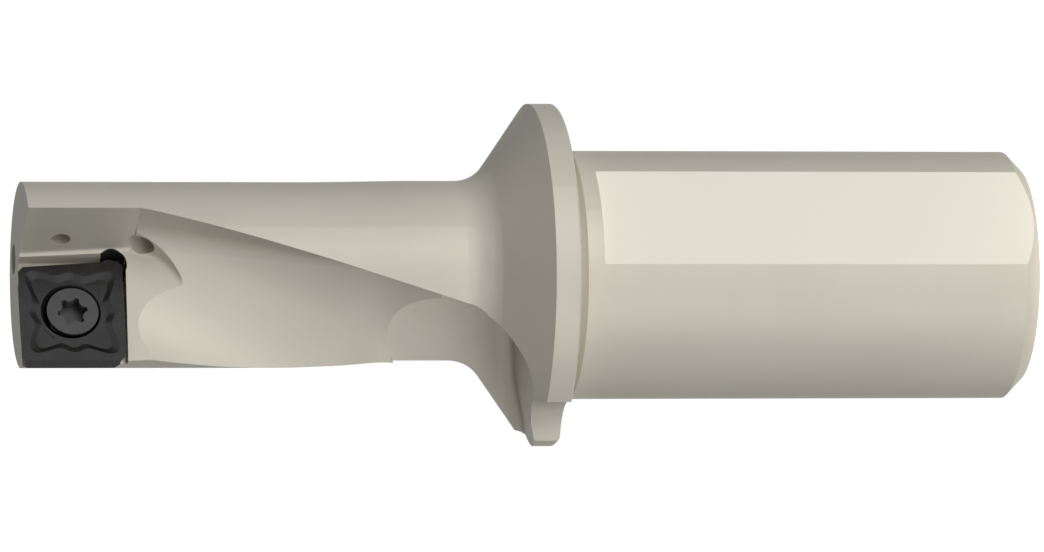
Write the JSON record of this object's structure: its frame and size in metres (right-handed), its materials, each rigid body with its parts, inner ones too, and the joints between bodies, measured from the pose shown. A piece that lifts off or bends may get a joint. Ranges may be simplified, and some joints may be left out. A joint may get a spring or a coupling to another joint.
{
  "type": "drilling and turning tool",
  "caption": "Drilling and turning tool with a screwed-on indexable insert, a twisted chip flute, a coned flange and a cylindrical shank with a clamping flat.",
  "frame": {"origin": "centre of the shank's end face, on the tool axis, in the mouth of the coolant inlet", "axes": "+Z along the tool axis towards the cutting end, -Y out of the clamping flat and out of the insert's top face, -X towards the outer cutting corner"},
  "size_m": [0.0435, 0.0441, 0.1305],
  "materials": {
    "holder_steel": "satin",
    "insert_carbide": "satin",
    "screw_steel": "satin"
  },
  "bodies": {
    "root": {"tool_holder": "holder_steel", "cutting_insert": "insert_carbide", "insert_screw": "screw_steel"}
  },
  "joints": []
}
